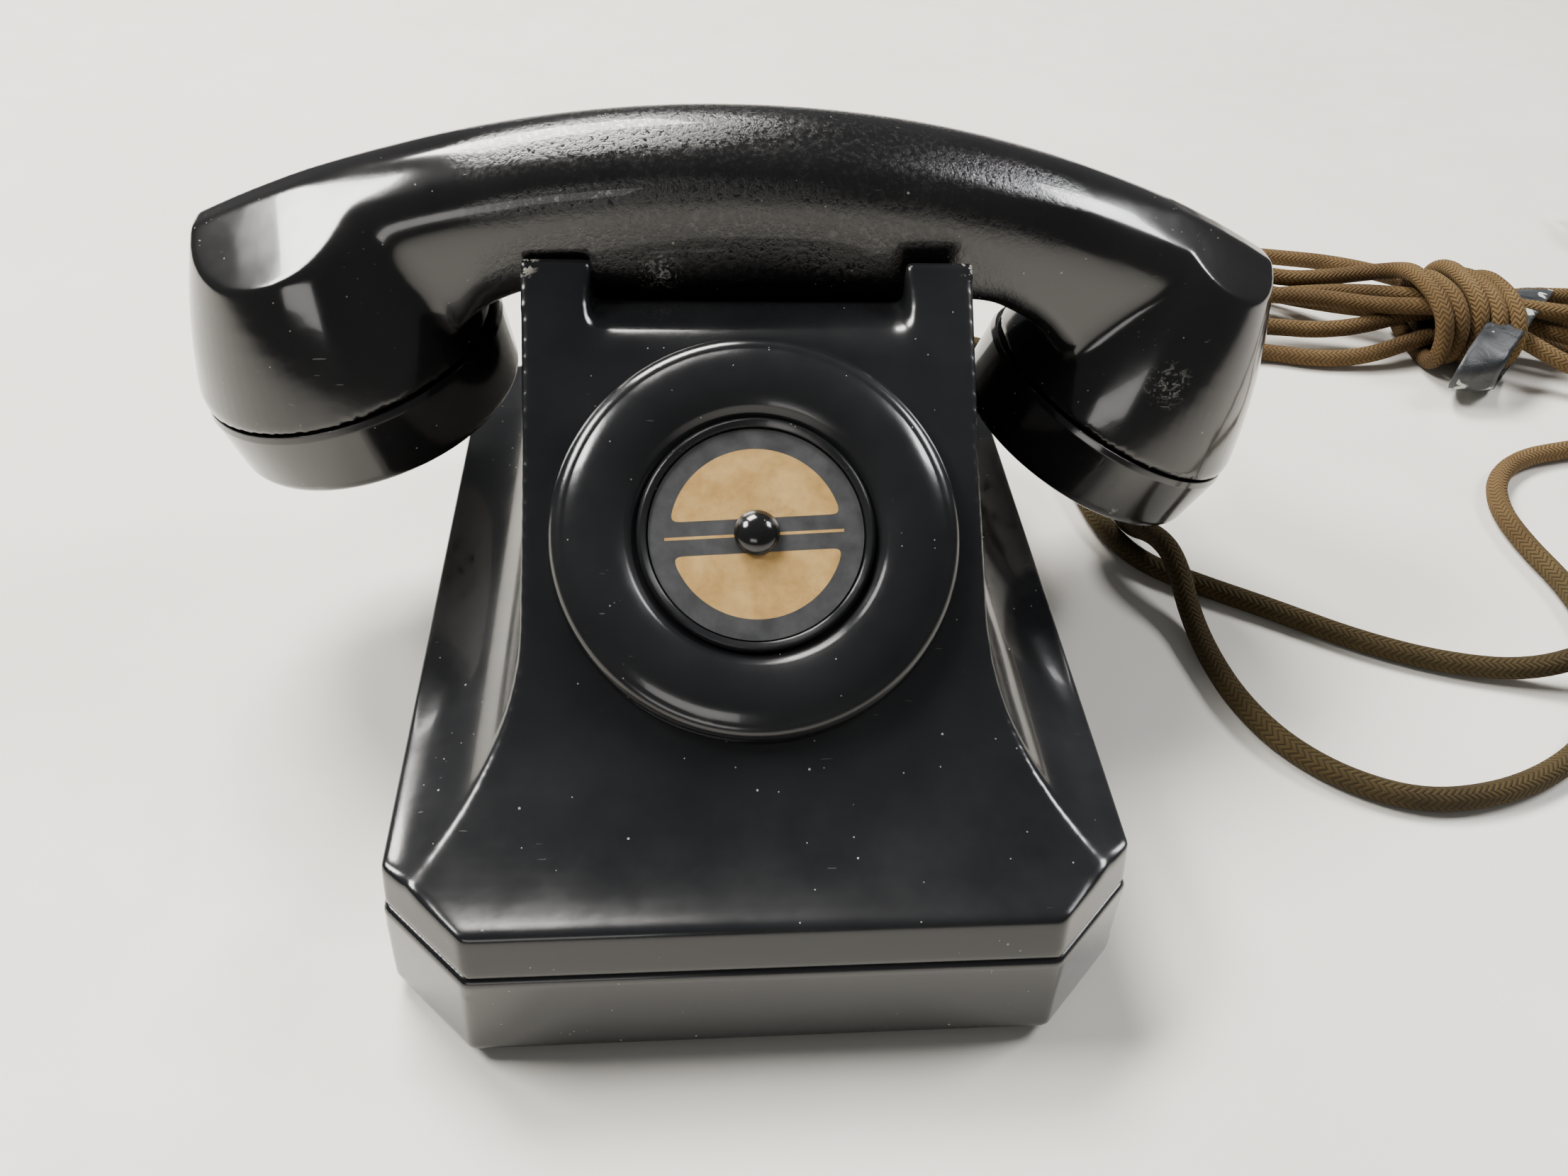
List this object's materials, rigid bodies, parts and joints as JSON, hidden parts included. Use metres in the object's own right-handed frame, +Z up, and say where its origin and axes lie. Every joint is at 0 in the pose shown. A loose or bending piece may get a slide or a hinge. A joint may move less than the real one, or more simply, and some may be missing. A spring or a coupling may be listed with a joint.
{
  "type": "desk telephone",
  "caption": "Manual desk telephone: sloping cast body with a blank dial disc, four cradle horns, arched one-piece handset, braided cords, spare cord tied in a bundle and a round plug.",
  "frame": {"origin": "on the floor under the middle of the telephone, half way across its width and depth, cords left out", "axes": "+Z up, -Y towards the user at the front with the blank disc, +X to the user's right, where the transmitter end and the cords are"},
  "size_m": [0.4867, 0.344, 0.1211],
  "materials": {
    "black_enamel": "semi-gloss, worn",
    "steel": "plain",
    "black_rubber": "matt",
    "dark_card": "matt",
    "bakelite": "satin, worn",
    "brass": "plain",
    "coil_tape": "matt",
    "aluminium": "plain",
    "insulation": "matt",
    "brown_braid": "matt braid",
    "friction_tape": "matt, worn"
  },
  "bodies": {
    "base": {"housing": "black_enamel", "base_pan": "black_enamel", "base_screws": "steel", "feet": "black_rubber", "blank_disc": "black_enamel", "label_bezel": "black_enamel", "label_plate": "dark_card", "centre_button": "bakelite", "disc_bracket": "steel", "plunger_bush_left": "brass", "plunger_bush_right": "brass", "lever_pin": "steel", "switch_bracket": "steel", "contact_springs": "brass", "switch_post": "steel", "ringer_frame": "steel", "gong_left": "brass", "gong_right": "brass", "gong_post_left": "steel", "gong_post_right": "steel", "ringer_coil_left": "coil_tape", "ringer_coil_right": "coil_tape", "capacitor": "aluminium", "induction_coil": "coil_tape", "terminal_board": "insulation", "terminal_screws": "brass", "handset_cord_gland": "black_rubber", "line_cord_gland": "black_rubber", "handset_cord": "brown_braid", "line_cord": "brown_braid", "line_cord_tail": "brown_braid", "cord_hank": "brown_braid", "hank_tape": "friction_tape", "line_plug": "bakelite"},
    "handset": {"handset_handle": "bakelite", "receiver_cap": "bakelite", "receiver_unit": "aluminium", "transmitter_cap": "bakelite", "transmitter_unit": "aluminium", "handset_gland": "black_rubber"},
    "plunger_left": {"plunger_left": "bakelite"},
    "plunger_right": {"plunger_right": "bakelite"},
    "hook_lever": {"hook_lever": "steel"},
    "clapper": {"clapper": "brass"}
  },
  "joints": [
    {"name": "handset_lift", "type": "slide", "parent": "base", "child": "handset", "axis": [0, 0, 1], "range_m": [0, 0.08]},
    {"name": "plunger_left_slide", "type": "slide", "parent": "base", "child": "plunger_left", "axis": [0, 0, 1], "range_m": [0, 0.005]},
    {"name": "plunger_right_slide", "type": "slide", "parent": "base", "child": "plunger_right", "axis": [0, 0, 1], "range_m": [0, 0.005]},
    {"name": "hook_lever_pivot", "type": "hinge", "parent": "base", "child": "hook_lever", "pos_m": [-0.003, 0.026, 0.0625], "axis": [1, 0, 0], "range_deg": [0, 15]},
    {"name": "clapper_swing", "type": "hinge", "parent": "base", "child": "clapper", "pos_m": [-0.003, 0.028, 0.036], "axis": [0, 0, 1], "range_deg": [-6.5, 6.5]}
  ],
  "couplings": [
    {"joint": "plunger_left_slide", "follows": "handset_lift", "ratio": 0.0625},
    {"joint": "plunger_right_slide", "follows": "handset_lift", "ratio": 0.0625},
    {"joint": "hook_lever_pivot", "follows": "handset_lift", "rad_per_m": 3.2}
  ]
}
